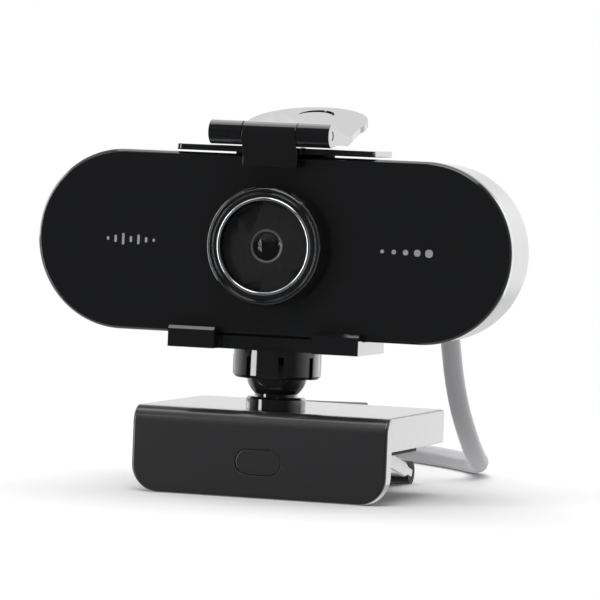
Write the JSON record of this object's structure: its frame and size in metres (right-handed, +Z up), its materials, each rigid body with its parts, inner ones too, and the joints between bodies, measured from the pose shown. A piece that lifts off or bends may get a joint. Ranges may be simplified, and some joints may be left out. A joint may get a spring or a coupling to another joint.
{
  "type": "clip-on webcam",
  "caption": "Stadium-shaped webcam with a flip-over lens cover, on a ball joint and a folding screen clip that also stands on a desk.",
  "frame": {"origin": "on the desk, under the middle of the object's footprint without its cable", "axes": "+X to the right as seen from in front, -Y is the side that the lens looks to, +Z up"},
  "size_m": [0.0969, 0.1472, 0.0649],
  "materials": {
    "gloss_black": "gloss",
    "satin_black": "satin",
    "black_plastic": "matt",
    "silver_shell": "satin paint",
    "bright_trim": "bright plated",
    "lens_glass": "polished and coated",
    "rubber_black": "matt",
    "dark_steel": "zinc plated",
    "brass_insert": "turned",
    "board_green": "solder mask",
    "chip_black": "moulded",
    "connector_white": "moulded nylon",
    "cable_grey": "satin PVC jacket",
    "foam_tape": "foam"
  },
  "bodies": {
    "clip": {"clip_cover": "satin_black", "lip_badge": "gloss_black", "clip_base": "black_plastic", "clip_screws": "dark_steel", "thread_insert": "brass_insert", "top_pads": "rubber_black", "lip_pad": "rubber_black", "leg_pin": "dark_steel"},
    "leg": {"rear_leg": "satin_black", "leg_foot": "rubber_black"},
    "swivel": {"ball_stud": "gloss_black", "swivel_washer": "dark_steel", "swivel_screw": "dark_steel"},
    "lean_ring": {"friction_ring": "connector_white", "cable": "cable_grey", "cable_hank": "cable_grey", "cable_tie": "rubber_black", "usb_plug_grip": "cable_grey", "usb_plug_shell": "bright_trim", "usb_plug_tongue": "connector_white"},
    "head": {"front_plate": "gloss_black", "face_frame": "black_plastic", "rear_shell": "silver_shell", "case_screws": "dark_steel", "lens_ring": "gloss_black", "lens_trim": "bright_trim", "lens_window": "lens_glass", "window_mask": "black_plastic", "lens_barrel": "black_plastic", "lens_element": "lens_glass", "lens_holder": "black_plastic", "image_sensor": "chip_black", "circuit_board": "board_green", "board_chips": "chip_black", "board_screws": "dark_steel", "cable_socket": "connector_white", "inner_lead": "connector_white", "microphone": "bright_trim", "cradle": "gloss_black", "cradle_screws": "dark_steel", "cover_base": "gloss_black", "cover_tape": "foam_tape", "cover_pin": "dark_steel", "cable_gland": "cable_grey"},
    "lens_cover": {"cover_flap": "gloss_black"}
  },
  "joints": [
    {"name": "swivel_pan", "type": "hinge", "parent": "clip", "child": "swivel", "pos_m": [0, -0.0171, 0.0144], "axis": [0, 0, 1], "range_deg": [-180, 180]},
    {"name": "ball_lean", "type": "hinge", "parent": "swivel", "child": "lean_ring", "pos_m": [0, -0.0171, 0.0208], "axis": [0, 1, 0], "range_deg": [-10, 10]},
    {"name": "ball_tilt", "type": "hinge", "parent": "lean_ring", "child": "head", "pos_m": [0, -0.0171, 0.0208], "axis": [1, 0, 0], "range_deg": [-25, 25], "deforming": ["cable"]},
    {"name": "cover_flip", "type": "hinge", "parent": "head", "child": "lens_cover", "pos_m": [0, -0.0249, 0.0602], "axis": [1, 0, 0], "range_deg": [0, 255]},
    {"name": "leg_fold", "type": "hinge", "parent": "clip", "child": "leg", "pos_m": [0, 0.0054, 0.0064], "axis": [-1, 0, 0], "range_deg": [0, 160]}
  ]
}
